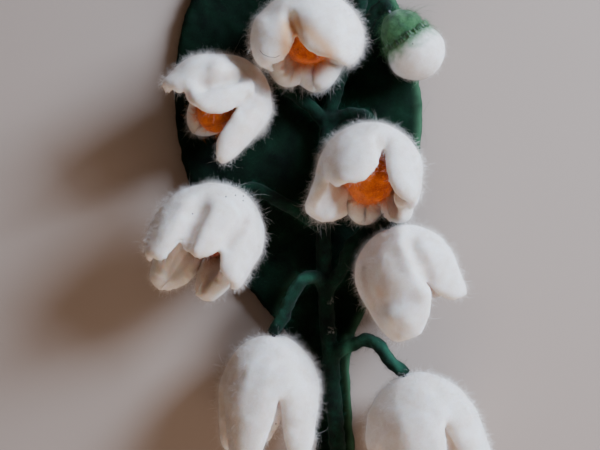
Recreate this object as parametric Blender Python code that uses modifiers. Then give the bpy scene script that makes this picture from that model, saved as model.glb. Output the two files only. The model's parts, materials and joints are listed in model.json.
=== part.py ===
"""Needle-felted lily of the valley, lying face up on the flat back of its leaf.

+X runs to the right and +Y from the stem's cut end to the leaf's tip, seen from above, and +Z is up.
The origin is on the leaf's flat back, under the widest part of the blade.
Sizes are in millimetres; MM turns them into metres as each mesh is made.
"""

import math

import bmesh
import bpy
from mathutils import Matrix, Vector, noise

MM = 0.001
FELT_GAP = 0.3

# The leaf is a felt pad cut to a broad blade that narrows to a stalk, in stations from tip to cut end.
# A station is: place along Y, middle in X, half width, thickness, lift of the rim. The middle of the
# back, a share LEAF_FLAT of the width, stays flat; the rim is thinner, and lifted less underneath.
LEAF_STATIONS = [
    (42.0, -1.6, 2.6, 2.2, 0.7),
    (38.0, -1.6, 8.9, 2.9, 0.8),
    (30.5, -1.6, 17.2, 3.1, 0.9),
    (20.0, -1.4, 22.8, 3.2, 1.0),
    (8.0, -0.6, 25.5, 3.2, 1.1),
    (-4.5, -0.1, 26.0, 3.2, 1.1),
    (-15.5, 0.4, 23.8, 3.2, 1.0),
    (-25.5, 1.4, 19.7, 3.1, 1.0),
    (-34.5, 2.3, 15.0, 2.9, 1.1),
    (-42.0, 3.3, 9.9, 2.5, 1.6),
    (-48.0, 4.9, 5.3, 1.8, 2.6),
    (-57.0, 6.1, 4.0, 1.5, 3.0),
    (-68.0, 7.1, 4.1, 1.5, 2.8),
    (-79.0, 7.9, 3.9, 1.5, 2.6),
    (-88.5, 8.6, 3.3, 1.4, 2.0),
]
LEAF_COLUMNS = [-1.0, -0.84, -0.42, 0.0, 0.42, 0.84, 1.0]
LEAF_FLAT = 0.42
LEAF_THINNING = 0.25
LEAF_BACK_LIFT = 0.55
LEAF_BUMP = 0.25
LEAF_BUMP_SIZE = 11.0

# The main stem is wool wound on wire, from the cut end up the leaf to the bud at its tip.
STEM_POINTS = [
    (9.0, -91.0, 3.9),
    (8.2, -79.0, 3.9),
    (7.6, -69.0, 3.9),
    (6.8, -59.0, 3.9),
    (6.0, -49.5, 4.3),
    (5.2, -39.0, 5.0),
    (4.8, -29.0, 5.4),
    (4.6, -19.0, 5.5),
    (5.0, -9.0, 5.5),
    (5.8, -2.6, 5.5),
    (7.6, 4.0, 5.4),
    (9.6, 11.0, 5.3),
    (11.6, 18.0, 5.2),
    (13.2, 25.0, 5.4),
]
STEM_RADIUS_FOOT = 1.8
STEM_RADIUS_TIP = 1.3
STEM_STEP = 4.0
PEDICEL_RADIUS = 1.4
PEDICEL_STEP = 3.0
PEDICEL_STRAIGHT = 0.7
WIRE_RADIUS = 0.4
WIRE_LAST_STEP = 0.6
WIRE_INTO_CROWN = 2.2

# A bell hangs by its crown, mouth down. The crown is a turned cup, and five thick petals are felted
# into it. Angles go round the bell from the side that faces the viewer.
CROWN_HOLE = 0.75
CROWN_THICKNESS = 2.6
CROWN_RIM = 1.5
CROWN_SIDES = 14
CROWN_STEPS = [0.04, 0.15, 0.32, 0.6, 1.0]
CROWN_EASE = 0.25
PETAL_ROOT = 2.8
PETAL_THICKNESS = 3.0
PETAL_TUCK = 0.8
PETAL_PROUD = 0.75
PETAL_ARCH = 1.45
PETAL_LAP = 0.16
PETAL_ROOT_SHARE = 0.4
PETAL_ROOT_GROWTH = 2.0
PETAL_TIP_TRIM = 0.96
PETAL_TIP_THINNING = 0.45
PETAL_EDGE_THINNING = 0.5
PETAL_FREE_EASE = 3.0
PETAL_LAYER_START = 0.3
PETAL_COLUMNS = [-1.0, -0.6, 0.0, 0.6, 1.0]
PETAL_ROWS = [0.0, 0.12, 0.36, 0.62, 0.84, 1.0]

# A bell is: crown point, heading in the XY plane and rise towards the viewer in degrees, radius and
# depth of its widest place, depth where the petals part, how blunt their tips are, the petals, the
# radius and half length of the amber centre, and then its pedicel: where along Y it leaves the main
# stem, and the points that it arches through.
# A petal is: angle and half width in degrees, depth and radius of its tip, and how far out it lies.
BELLS = {
    "bell_1": dict(
        crown=(2.2, 20.8, 12.1), heading=-93, rise=22, radius=10.7, belly=10.5, parting=8.6, blunt=3.0,
        petals=[
            (-59, 44, 17.6, 9.0, 0.3),
            (32, 52, 18.0, 10.4, 0.7),
            (104, 38, 12.2, 10.4, -0.4),
            (165, 35, 16.4, 9.2, 0.0),
            (-144, 39, 16.0, 9.4, -0.3),
        ],
        centre=(4.7, 5.4), root=21.8, via=[(11.0, 26.0, 7.6), (6.4, 26.4, 10.2)],
    ),
    "bell_2": dict(
        crown=(-9.6, 7.0, 12.0), heading=-127, rise=18, radius=9.3, belly=9.0, parting=7.4, blunt=2.6,
        petals=[
            (-61, 36, 15.8, 10.4, 2.0),
            (-18, 44, 16.2, 9.4, 0.5),
            (61, 33, 20.6, 8.8, 0.0),
            (122, 36, 13.0, 8.6, -0.5),
            (-166, 42, 15.4, 8.8, -0.2),
        ],
        centre=(4.4, 6.2), root=-3.6,
        via=[(1.6, 0.2, 6.0), (-2.4, 3.2, 6.4), (-6.2, 7.0, 7.4), (-8.1, 8.6, 9.6)],
    ),
    "bell_3": dict(
        crown=(14.6, -5.2, 11.6), heading=-96, rise=25, radius=9.7, belly=9.0, parting=5.4, blunt=3.0,
        petals=[
            (-34, 46, 16.2, 9.2, 0.9),
            (59, 44, 17.6, 10.0, 0.4),
            (116, 36, 17.4, 9.6, -0.2),
            (-178, 38, 16.8, 9.4, 0.0),
            (-113, 51, 17.6, 12.4, 0.6),
        ],
        centre=(5.0, 6.2), root=-3.6, via=[(8.8, -1.8, 6.6), (12.2, -1.6, 8.4)],
    ),
    "bell_4": dict(
        crown=(-12.6, -18.0, 10.8), heading=-120, rise=25, radius=9.8, belly=9.4, parting=8.0, blunt=3.0,
        petals=[
            (-60, 38, 22.4, 8.0, 1.8),
            (-8, 35, 19.2, 9.4, 0.2),
            (59, 41, 19.2, 10.8, 0.4),
            (134, 34, 20.4, 9.0, -0.3),
            (-146, 42, 22.2, 10.2, -0.2),
        ],
        centre=(4.7, 5.4), root=-25.0, via=[(1.2, -22.2, 7.4), (-3.4, -19.6, 9.2), (-9.4, -16.4, 9.6)],
    ),
    "bell_5": dict(
        crown=(17.6, -24.8, 12.6), heading=-70, rise=0, radius=9.9, belly=9.0, parting=5.0, blunt=3.0,
        petals=[
            (-26, 46, 20.8, 9.8, 1.8),
            (60, 44, 17.0, 10.8, 0.2),
            (126, 36, 16.0, 8.8, -0.4),
            (-172, 40, 16.4, 8.6, -0.4),
            (-106, 38, 16.4, 8.8, -0.2),
        ],
        centre=(4.7, 5.4), root=-37.4,
        via=[(8.4, -33.2, 7.0), (9.6, -28.6, 8.0), (12.4, -26.0, 8.0), (15.8, -24.3, 8.9)],
    ),
    "bell_6": dict(
        crown=(-5.2, -45.9, 10.8), heading=-94, rise=0, radius=9.9, belly=12.0, parting=11.2, blunt=1.25,
        petals=[
            (-31, 43, 26.8, 9.4, 0.1),
            (54, 36, 25.2, 9.8, 0.1),
            (122, 38, 23.6, 9.2, -0.2),
            (-172, 38, 22.0, 9.0, 0.0),
            (-104, 38, 23.6, 9.2, -0.2),
        ],
        centre=(4.7, 4.2), root=-36.0,
        via=[(3.2, -34.2, 7.0), (0.6, -34.6, 9.0), (-1.8, -38.4, 10.4), (-3.6, -43.0, 10.9)],
    ),
    "bell_7": dict(
        crown=(20.6, -53.7, 12.7), heading=-72, rise=0, radius=11.1, belly=12.4, parting=9.4, blunt=1.25,
        petals=[
            (-18, 43, 22.8, 11.4, 0.1),
            (67, 39, 24.0, 12.0, 0.1),
            (136, 38, 22.0, 11.2, -0.2),
            (-152, 38, 21.6, 11.2, 0.0),
            (-88, 38, 22.4, 11.4, -0.2),
        ],
        centre=(4.7, 4.2), root=-50.4,
        via=[(10.0, -48.2, 6.8), (13.6, -46.7, 9.8), (15.8, -47.9, 11.6), (17.6, -51.0, 12.3)],
    ),
}

# A bud is a closed white egg under a green cap.
# The profile is: share of the length, share of the radius, from the crown down.
BUDS = {
    "bud_side": dict(
        crown=(17.7, 18.3, 10.4), heading=-56, rise=-3, length=15.2, radius=6.1,
        root=10.2, via=[(11.6, 13.0, 6.6), (14.4, 17.6, 8.8), (16.6, 20.6, 10.2)],
    ),
    "bud_tip": dict(
        crown=(8.4, 33.6, 8.4), heading=-165, rise=-3, length=10.4, radius=4.2,
        root=22.4, via=[(13.4, 28.6, 6.6), (12.2, 32.4, 8.0)],
    ),
}
BUD_PROFILE = [
    (0.02, 0.20),
    (0.10, 0.39),
    (0.20, 0.57),
    (0.32, 0.73),
    (0.41, 0.83),
    (0.57, 0.97),
    (0.71, 0.96),
    (0.86, 0.71),
    (0.96, 0.38),
]
CAP_ROWS = 5
CAP_THICKNESS = 0.9
CAP_RIM = 0.6
BUD_SIDES = 12

WOOL_WHITE = ("wool_white", (0.83, 0.81, 0.78), 0.9, 0.0)
WOOL_LEAF = ("wool_leaf_green", (0.012, 0.07, 0.045), 0.92, 0.0)
WOOL_STEM = ("wool_stem_green", (0.02, 0.13, 0.075), 0.92, 0.0)
WOOL_CAP = ("wool_cap_green", (0.19, 0.36, 0.2), 0.92, 0.0)
WOOL_AMBER = ("wool_amber", (0.62, 0.2, 0.02), 0.92, 0.0)
WIRE_STEEL = ("wire_steel", (0.45, 0.45, 0.46), 0.4, 1.0)


def clear_scene():
    for obj in list(bpy.data.objects):
        bpy.data.objects.remove(obj)


def finish_of(spec):
    """The Principled material of a (name, colour, roughness, metallic) tuple."""
    name, colour, roughness, metallic = spec
    material = bpy.data.materials.get(name)
    if material is None:
        material = bpy.data.materials.new(name)
        material.use_nodes = True
        shader = material.node_tree.nodes["Principled BSDF"]
        shader.inputs["Base Color"].default_value = (*colour, 1.0)
        shader.inputs["Roughness"].default_value = roughness
        shader.inputs["Metallic"].default_value = metallic
    return material


def paint(obj, finish):
    """Gives the whole object one material."""
    obj.data.materials.clear()
    obj.data.materials.append(finish_of(finish))
    for face in obj.data.polygons:
        face.material_index = 0


def mesh_object(name, bm, collection, finish):
    """The object of a bmesh in millimetres, shaded smooth, with its material."""
    bmesh.ops.scale(bm, vec=(MM, MM, MM), verts=bm.verts)
    bmesh.ops.recalc_face_normals(bm, faces=bm.faces)
    mesh = bpy.data.meshes.new(name)
    bm.to_mesh(mesh)
    bm.free()
    mesh.shade_smooth()
    mesh.materials.append(finish_of(finish))
    obj = bpy.data.objects.new(name, mesh)
    collection.objects.link(obj)
    return obj


def cut_box(across, along):
    """A box over the values of both lists, cut through at those between its ends, and 2 high."""
    bm = bmesh.new()
    bmesh.ops.create_cube(bm, size=2.0)
    for vert in bm.verts:
        vert.co.x = across[-1] if vert.co.x > 0 else across[0]
        vert.co.y = along[-1] if vert.co.y > 0 else along[0]
    for normal, cuts in ((Vector((1, 0, 0)), across), (Vector((0, 1, 0)), along)):
        for place in cuts[1:-1]:
            everything = bm.verts[:] + bm.edges[:] + bm.faces[:]
            bmesh.ops.bisect_plane(bm, geom=everything, plane_co=normal * place, plane_no=normal)
    return bm


def curve_through(points, step):
    """Points about a step apart on a smooth curve through the given ones."""
    ends = [points[0] * 2 - points[1], *points, points[-1] * 2 - points[-2]]
    path = []
    for a, b, c, d in zip(ends, ends[1:], ends[2:], ends[3:]):
        count = max(1, round((c - b).length / step))
        for i in range(count):
            t = i / count
            bend = (2 * a - 5 * b + 4 * c - d) * t**2 + (3 * b - a - 3 * c + d) * t**3
            path.append(b + 0.5 * ((c - a) * t + bend))
    return path + [points[-1].copy()]


def tube(name, path, radii, collection, resolution):
    """A closed tube along a path, made from a bevelled curve."""
    curve = bpy.data.curves.new(name, "CURVE")
    curve.dimensions = "3D"
    curve.bevel_depth = MM
    curve.bevel_resolution = resolution
    curve.use_fill_caps = True
    spline = curve.splines.new("POLY")
    spline.points.add(len(path) - 1)
    for point, place, radius in zip(spline.points, path, radii):
        point.co = (*(place * MM), 1.0)
        point.radius = radius
    guide = bpy.data.objects.new(name + "_guide", curve)
    collection.objects.link(guide)
    bpy.context.view_layer.update()
    evaluated = guide.evaluated_get(bpy.context.evaluated_depsgraph_get())
    mesh = bpy.data.meshes.new_from_object(evaluated)
    bm = bmesh.new()
    bm.from_mesh(mesh)
    bmesh.ops.remove_doubles(bm, verts=bm.verts, dist=0.01 * MM)
    bmesh.ops.recalc_face_normals(bm, faces=bm.faces)
    bm.to_mesh(mesh)
    bm.free()
    obj = bpy.data.objects.new(name, mesh)
    obj.matrix_world = guide.matrix_world
    collection.objects.link(obj)
    bpy.data.objects.remove(guide)
    return obj


def turned(name, profile, sides, collection, finish):
    """A body turned about Z from a profile of (radius, depth) points, its outer side running down."""
    mesh = bpy.data.meshes.new(name)
    places = [(radius * MM, 0.0, -depth * MM) for radius, depth in profile]
    edges = [(i, i + 1) for i in range(len(profile) - 1)]
    if profile[0][0] > 0:
        edges.append((len(profile) - 1, 0))
    mesh.from_pydata(places, edges, [])
    mesh.materials.append(finish_of(finish))
    obj = bpy.data.objects.new(name, mesh)
    collection.objects.link(obj)
    turn = obj.modifiers.new("turn", "SCREW")
    turn.steps = turn.render_steps = sides
    turn.use_merge_vertices = True
    turn.merge_threshold = 0.01 * MM
    turn.use_smooth_shade = True
    return obj


def apply_modifiers(obj):
    """Makes the object's evaluated mesh its own."""
    bpy.context.view_layer.update()
    evaluated = obj.evaluated_get(bpy.context.evaluated_depsgraph_get())
    mesh = bpy.data.meshes.new_from_object(evaluated)
    obj.modifiers.clear()
    obj.data = mesh


def combine(obj, others, operation):
    """Applies one Boolean between the object and a group of others, which are then removed."""
    group = bpy.data.collections.new(obj.name + "_cutters")
    bpy.context.scene.collection.children.link(group)
    for other in others:
        group.objects.link(other)
    boolean = obj.modifiers.new("combine", "BOOLEAN")
    boolean.operation = operation
    boolean.operand_type = "COLLECTION"
    boolean.collection = group
    boolean.solver = "EXACT"
    apply_modifiers(obj)
    for other in others:
        bpy.data.objects.remove(other)
    bpy.data.collections.remove(group)


def axis_of(spec):
    """The unit vector from a flower's crown towards its mouth."""
    heading = math.radians(spec["heading"])
    rise = math.radians(spec["rise"])
    level = math.cos(rise)
    return Vector((level * math.cos(heading), level * math.sin(heading), math.sin(rise)))


def hang(obj, spec):
    """Hangs a piece, modelled crown up at its own origin, from the flower's crown point."""
    axis = axis_of(spec)
    up = Vector((0, 0, 1))
    front = (up - axis * axis.dot(up)).normalized()
    side = front.cross(axis)
    obj.rotation_mode = "QUATERNION"
    obj.rotation_quaternion = Matrix((front, side, -axis)).transposed().to_quaternion()
    obj.location = Vector(spec["crown"]) * MM


def leaf(collection):
    bm = cut_box(LEAF_COLUMNS, list(range(len(LEAF_STATIONS))))
    for vert in bm.verts:
        across, upper = vert.co.x, vert.co.z > 0
        y, middle, half_width, thickness, lift = LEAF_STATIONS[round(vert.co.y)]
        x = middle + across * half_width
        if upper:
            rim = abs(across) ** 3
            z = lift * rim + thickness * (1 - LEAF_THINNING * rim)
            z += LEAF_BUMP * noise.noise(Vector((x, y, 0)) / LEAF_BUMP_SIZE)
        else:
            raised = max(0.0, abs(across) - LEAF_FLAT) / (1 - LEAF_FLAT)
            z = LEAF_BACK_LIFT * lift * raised**2
        vert.co = (x, y, z)
    obj = mesh_object("leaf", bm, collection, WOOL_LEAF)
    rounding = obj.modifiers.new("rounding", "SUBSURF")
    rounding.levels = rounding.render_levels = 1
    return obj


def place_on(path, y):
    """The point of the main stem's path at a place along Y."""
    for low, high in zip(path, path[1:]):
        if low.y <= y <= high.y:
            return low.lerp(high, (y - low.y) / (high.y - low.y))
    return path[-1]


def pedicel_paths(spec, stem):
    """A pedicel's path from the main stem to the flower's crown, and its wire's path into the crown."""
    axis = axis_of(spec)
    crown = Vector(spec["crown"])
    end = crown - axis * FELT_GAP
    points = [place_on(stem, spec["root"]), *map(Vector, spec["via"]), end - axis * PEDICEL_STRAIGHT, end]
    path = curve_through(points, PEDICEL_STEP)
    return path, path[:-1] + [crown + axis * WIRE_INTO_CROWN]


def stem_and_wire(collection):
    """The wound wool of the main stem and all pedicels as one body, and the wire inside it."""
    main_path = curve_through([Vector(place) for place in STEM_POINTS], STEM_STEP)
    count = len(main_path)
    taper = (STEM_RADIUS_TIP - STEM_RADIUS_FOOT) / (count - 1)
    radii = [STEM_RADIUS_FOOT + taper * i for i in range(count)]
    wire_path = main_path[:-1] + [main_path[-2].lerp(main_path[-1], WIRE_LAST_STEP)]
    bore_path = [main_path[0] * 2 - main_path[1]] + wire_path
    bore_radius = WIRE_RADIUS + FELT_GAP
    wool = tube("stem_wool", main_path, radii, collection, 2)
    wire = tube("stem_wire", wire_path, [WIRE_RADIUS] * len(wire_path), collection, 1)
    bore = tube("stem_bore", bore_path, [bore_radius] * len(bore_path), collection, 1)
    wools, wires, bores = [], [], []
    for name, spec in {**BELLS, **BUDS}.items():
        path, inner = pedicel_paths(spec, main_path)
        wools.append(tube(name + "_wool", path, [PEDICEL_RADIUS] * len(path), collection, 1))
        wires.append(tube(name + "_wire", inner, [WIRE_RADIUS] * len(inner), collection, 1))
        bores.append(tube(name + "_bore", inner, [bore_radius] * len(inner), collection, 1))
    combine(wool, wools, "UNION")
    combine(wire, wires, "UNION")
    combine(bore, bores, "UNION")
    combine(wool, [bore], "DIFFERENCE")
    paint(wool, WOOL_STEM)
    paint(wire, WIRE_STEEL)
    return wool, wire


def bell_radius(spec, depth):
    """The bell's outer radius from its crown down to its widest place, and that radius below it."""
    above = max(0.0, 1 - depth / spec["belly"])
    return spec["radius"] * math.sqrt(1 - above**2)


def crown_cup(name, spec, collection):
    """The turned cup from the crown to where the petals part, with the wire's hole at its top."""
    deep = spec["parting"]
    outer = [(bell_radius(spec, deep * s), deep * s) for s in CROWN_STEPS]
    inner = []
    for share in reversed(CROWN_STEPS[1:]):
        thickness = CROWN_THICKNESS + (CROWN_RIM - CROWN_THICKNESS) * share
        depth = deep * share + CROWN_THICKNESS * (1 - share)
        inner.append((bell_radius(spec, deep * share) - thickness * share**CROWN_EASE, depth))
    profile = [(CROWN_HOLE, 0.0), *outer, *inner, (CROWN_HOLE, CROWN_THICKNESS)]
    return turned(name, profile, CROWN_SIDES, collection, WOOL_WHITE)


def petal(name, spec, shape, collection):
    """A thick felt petal, from its root inside the crown's wall to its rounded tip.

    It is arched across, thin at its root, full where it leaves the crown, and thins again towards its
    tip and edges.
    """
    angle, half, reach, spread, layer = shape
    belly, parting = spec["belly"], spec["parting"]
    bm = cut_box(PETAL_COLUMNS, PETAL_ROWS)
    for vert in bm.verts:
        across, along, outside = vert.co.x, vert.co.y, vert.co.z > 0
        depth = PETAL_ROOT + (reach - PETAL_ROOT) * along
        below = max(0.0, (depth - belly) / (reach - belly))
        radius = bell_radius(spec, depth) + (spread - spec["radius"]) * below**2
        if along == 0:
            radius -= PETAL_TUCK
        else:
            full = min(1.0, along / PETAL_ROWS[2])
            radius += full * (PETAL_PROUD - PETAL_ARCH * across**2)
            radius += layer * min(1.0, along / PETAL_ROWS[2] - PETAL_LAYER_START)
        free = max(0.0, (depth - parting) / (reach - parting))
        fused = max(0.0, 1 - depth / parting)
        width = (1 + PETAL_LAP * fused) * math.sqrt(1 - (PETAL_TIP_TRIM * free) ** spec["blunt"])
        loose = min(1.0, PETAL_FREE_EASE * free)
        thick = PETAL_THICKNESS * min(1.0, PETAL_ROOT_SHARE + PETAL_ROOT_GROWTH * along)
        thick *= 1 - PETAL_TIP_THINNING * free**2
        thick *= 1 - PETAL_EDGE_THINNING * abs(across) ** 3 * loose
        slack = (PETAL_THICKNESS - thick) * loose
        radius -= 0.5 * slack if outside else 0.5 * slack + thick
        turn = math.radians(angle + across * half * width)
        vert.co = (radius * math.cos(turn), radius * math.sin(turn), -depth)
    return mesh_object(name, bm, collection, WOOL_WHITE)


def bell(name, spec, collection):
    """The white bell, and the amber ball of wool that fills its middle."""
    body = crown_cup(name, spec, collection)
    petals = [petal(f"{name}_petal_{i}", spec, shape, collection) for i, shape in enumerate(spec["petals"])]
    combine(body, petals, "UNION")
    paint(body, WOOL_WHITE)
    hang(body, spec)
    bm = bmesh.new()
    bmesh.ops.create_uvsphere(bm, u_segments=10, v_segments=7, radius=1.0)
    radius, half_length = spec["centre"]
    bmesh.ops.scale(bm, vec=(radius, radius, half_length), verts=bm.verts)
    middle = CROWN_THICKNESS + FELT_GAP + half_length
    bmesh.ops.translate(bm, vec=(0, 0, -middle), verts=bm.verts)
    centre = mesh_object(name.replace("bell", "centre"), bm, collection, WOOL_AMBER)
    hang(centre, spec)
    return body, centre


def bud(name, spec, collection):
    """The white egg with a blind hole for the wire, and the green cap over its top."""
    hole = WIRE_RADIUS + FELT_GAP
    hole_end = WIRE_INTO_CROWN + 2 * FELT_GAP
    top = CAP_THICKNESS + FELT_GAP
    length = spec["length"] - top
    side = [(spec["radius"] * r, top + length * s) for s, r in BUD_PROFILE]
    egg = [(0.0, hole_end), (hole, hole_end), (hole, top), *side, (0.0, spec["length"])]
    body = turned(name, egg, BUD_SIDES, collection, WOOL_WHITE)
    hang(body, spec)
    inner = [(radius + FELT_GAP, depth - 0.5 * FELT_GAP) for radius, depth in side[:CAP_ROWS]]
    outer = []
    for row, (radius, depth) in enumerate(inner):
        wall = CAP_THICKNESS + (CAP_RIM - CAP_THICKNESS) * row / (CAP_ROWS - 1)
        outer.append((radius + wall, depth - 0.5 * wall))
    profile = [(hole, 0.0), *outer, *reversed(inner), (hole, CAP_THICKNESS)]
    cap = turned(name + "_cap", profile, BUD_SIDES, collection, WOOL_CAP)
    hang(cap, spec)
    return body, cap


def main():
    clear_scene()
    collection = bpy.data.collections.new("felt_lily_of_the_valley")
    bpy.context.scene.collection.children.link(collection)
    holder = bpy.data.objects.new("spray", None)
    collection.objects.link(holder)
    pieces = [leaf(collection), *stem_and_wire(collection)]
    for name, spec in BELLS.items():
        pieces += bell(name, spec, collection)
    for name, spec in BUDS.items():
        pieces += bud(name, spec, collection)
    for piece in pieces:
        piece.parent = holder


main()
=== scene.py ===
# Looks of a needle-felted lily of the valley spray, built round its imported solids. Every solid but the
# wire gets a soft, lumpy felt skin in its place, and loose fibres grow out of the skins as real ribbons.
# Sizes are in millimetres; MM turns them into metres as each mesh is made.

import json
import math

import bpy
import numpy as np
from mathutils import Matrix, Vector, noise

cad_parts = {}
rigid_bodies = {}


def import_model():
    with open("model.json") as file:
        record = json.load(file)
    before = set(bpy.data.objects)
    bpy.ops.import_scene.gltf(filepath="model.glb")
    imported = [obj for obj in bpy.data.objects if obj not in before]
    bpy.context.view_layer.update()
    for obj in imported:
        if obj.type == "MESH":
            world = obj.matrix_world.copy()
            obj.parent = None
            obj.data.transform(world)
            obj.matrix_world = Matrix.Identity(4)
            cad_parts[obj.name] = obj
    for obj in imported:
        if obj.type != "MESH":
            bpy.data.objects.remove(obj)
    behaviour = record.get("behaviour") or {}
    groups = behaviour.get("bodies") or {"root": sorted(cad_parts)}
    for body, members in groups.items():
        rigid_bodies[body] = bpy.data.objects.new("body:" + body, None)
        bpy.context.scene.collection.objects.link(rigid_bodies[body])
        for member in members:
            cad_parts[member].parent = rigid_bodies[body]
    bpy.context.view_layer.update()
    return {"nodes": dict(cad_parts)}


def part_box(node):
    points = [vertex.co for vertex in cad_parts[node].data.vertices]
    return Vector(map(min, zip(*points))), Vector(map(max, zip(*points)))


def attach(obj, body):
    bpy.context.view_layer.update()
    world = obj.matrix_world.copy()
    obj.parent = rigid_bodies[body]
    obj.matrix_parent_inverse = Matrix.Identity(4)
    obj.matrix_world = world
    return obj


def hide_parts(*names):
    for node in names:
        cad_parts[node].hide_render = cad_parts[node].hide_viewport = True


MM = 0.001
# The least length that anything is divided by.
TINY = 1e-9

# The camera looks straight down. The photo's frame is PHOTO_WIDTH wide at PHOTO_PLANE over the table,
# and PIXEL is the size of one of its pixels there.
PHOTO_PLANE = 8.0
PHOTO_MIDDLE = (0.0, -24.0)
PHOTO_WIDTH = 120.0
PHOTO_PIXELS = (600, 450)
PIXEL = PHOTO_WIDTH / PHOTO_PIXELS[0]
CAMERA_HEIGHT = 300.0
CAMERA_NEAREST = 10.0
SENSOR_WIDTH = 36.0

# The floor lies a hair under the spray, so that the two never share a plane.
FLOOR_DROP = 0.15
FLOOR_SIDE = 2400.0
FLOOR_COLOUR = (0.37, 0.295, 0.25)
FLOOR_ROUGHNESS = 0.9

# A light is: place, side length, power in watts, colour. All point at the middle of the photo's frame.
LIGHTS = {
    "key": ((420.0, 230.0, 285.0), 240.0, 9.4, (0.66, 0.80, 1.0)),
    "fill": ((60.0, -360.0, 180.0), 300.0, 0.9, (1.0, 0.80, 0.66)),
}
WORLD_COLOUR = (1.0, 0.72, 0.52)
WORLD_STRENGTH = 0.15

# How each bell lies, in degrees: its heading in the table's plane and its rise towards the viewer.
BELL_LIES = {
    1: (-93, 22),
    2: (-127, 18),
    3: (-96, 25),
    4: (-120, 25),
    5: (-70, 0),
    6: (-94, 0),
    7: (-72, 0),
}

# Where each bud's crown is, its heading in degrees, and how far down its cap reaches.
BUD_LIES = {"bud_side": ((17.7, 18.3, 10.4), -56, 6.9), "bud_tip": ((8.4, 33.6, 8.4), -165, 5.0)}

# Folds in the upper side of the bells, drawn where the photo shows them, in its pixels. Each is: its line,
# its width and depth in millimetres (a ridge's depth is negative, a mere tint's is none), and how much of
# the amber stain colour lies in it. Along the amber middles that colour is amber wool; in the creases,
# hollows and petals marked so it is painted shade.
FOLDS = {
    1: [
        (((289, 16), (291, 26), (294, 34)), 0.9, 1.0, 0.1),  # between the front petals, with painted shade
        (((292, 27), (297, 36), (301, 43)), 0.9, 0.3, 1.0),  # amber on in that fold
        (((287, 26), (286, 40), (288, 60)), 1.7, 0.0, 1.0),  # amber by the left petal
        (((263, 26), (259, 42), (262, 58)), 2.2, -1.2, 0.0),  # bulge of the left petal
        (((296, 74), (312, 84), (326, 78)), 2.4, 0.0, 0.15),  # tint of the lower petals
        (((298, 24), (309, 31), (321, 43), (330, 53)), 1.6, 0.2, 0.9),  # amber by the right petal
    ],
    2: [
        (((246, 75), (230, 78), (215, 82), (204, 85)), 1.3, 2.5, 0.3),  # under the top petal, with painted shade
        (((240, 54), (252, 63), (262, 74), (267, 86)), 1.8, 2.2, 0.35),  # along the right petal, with painted shade
        (((217, 66), (212, 72)), 1.2, -0.6, 0.0),  # bulge of the top petal
        (((262, 88), (256, 98), (243, 112)), 0.8, 0.8, 0.0),  # the right petal's edge
        (((262, 98), (246, 124), (230, 150)), 2.8, 0.0, 0.1),  # painted shade on the right petal
    ],
    3: [(((379, 141), (381, 152), (382, 160)), 0.8, 1.0, 0.15)],  # over the mouth
    4: [
        (((200, 206), (194, 218), (188, 232), (182, 249)), 1.8, 2.0, 0.15),  # left of the middle petal, with painted shade
        (((206, 220), (204, 246)), 2.6, 0.0, 0.14),  # painted shade on the middle petal
        (((246, 222), (233, 236), (226, 245)), 0.9, 1.5, 0.25),  # right of the middle petal, with painted shade
    ],
    5: [
        (((402, 234), (409, 254), (419, 275), (423, 296)), 1.6, -0.9, 0.0),  # left petal's rolled edge
        (((411, 244), (418, 260), (426, 280)), 1.3, 2.0, 0.2),  # beside that edge, with painted shade
        (((356, 244), (358, 272), (368, 300)), 4.6, 1.2, 0.15),  # hollow of the left petal, with painted shade
        (((382, 238), (386, 262), (390, 290)), 2.6, 0.0, 0.2),  # painted shade on the left petal
        (((392, 303), (404, 304), (418, 300)), 1.6, 0.4, 0.0),  # over the petal's tip
        (((394, 318), (408, 317)), 2.0, -1.0, 0.0),  # bulge of the tip
        (((378, 289), (380, 294)), 1.0, 0.0, 0.45),  # a spot of amber
    ],
    6: [(((228, 372), (222, 410), (226, 450)), 2.6, 0.4, 0.1)],  # hollow of the left petal, with painted shade
    7: [
        (((376, 392), (370, 420), (374, 450)), 3.6, 0.3, 0.14),  # hollow of the left petal, with painted shade
        (((402, 392), (400, 420), (404, 450)), 3.6, 0.0, 0.1),  # painted shade on the middle petal
    ],
}
# A fold comes in as the wool turns upwards, and as it rises over the bell's middle, in millimetres.
FOLD_FACING = (0.0, 0.4)
FOLD_HEIGHT = (-1.0, 1.5)

# Painted highlights where the light catches the stalks' loose wool. Each is: its line, its width and how
# much paler it is painted. It comes in as the wool turns upwards.
PAINTED_STALK_HIGHLIGHTS = (
    (((347, 338), (349, 390), (352, 450)), 0.9, 1.0),
    (((352, 343), (369, 337), (384, 346), (400, 368)), 0.8, 0.5),
    (((277, 318), (285, 292), (296, 277), (312, 278)), 0.9, 0.4),
)
PAINTED_STALK_HIGHLIGHT_FACING = (-0.3, 0.5)

# Bits of dark lint on the wool, in the photo's pixels: one bent fibre, and specks. White tufts hang
# on the stalk. Each is on the solid that is named with it.
LINT_LINE = ("bell_1", ((263, 51), (265, 54), (270, 56), (275, 56), (279, 54)))
LINT_SPECKS = {
    "bell_4": ((224, 201), (233, 199), (240, 200), (240, 204), (189, 214)),
    "bell_6": ((276, 422),),
    "bud_side": ((413, 45),),
}
TUFTS = {"stem_wool": ((339, 330), (342, 301))}
# The lint lies on the tips of the down: its height over the skin, a speck's reach, the fibre's width.
LINT_HEIGHT = 1.2
LINT_SIZE = 0.17
LINT_WIDTH = 0.1
# A tuft's fibres are made as the FIBRES below are, and TUFT_FIBRES is how many there are in each.
TUFT_SPREAD = 0.4
TUFT_FIBRES = 40
TUFT_SPEC = (0.0, 1.2, 0.035, 80, 1.5, 3)

# The bells whose amber middle is darker and redder.
DEEP_CENTRES = (4,)

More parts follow.
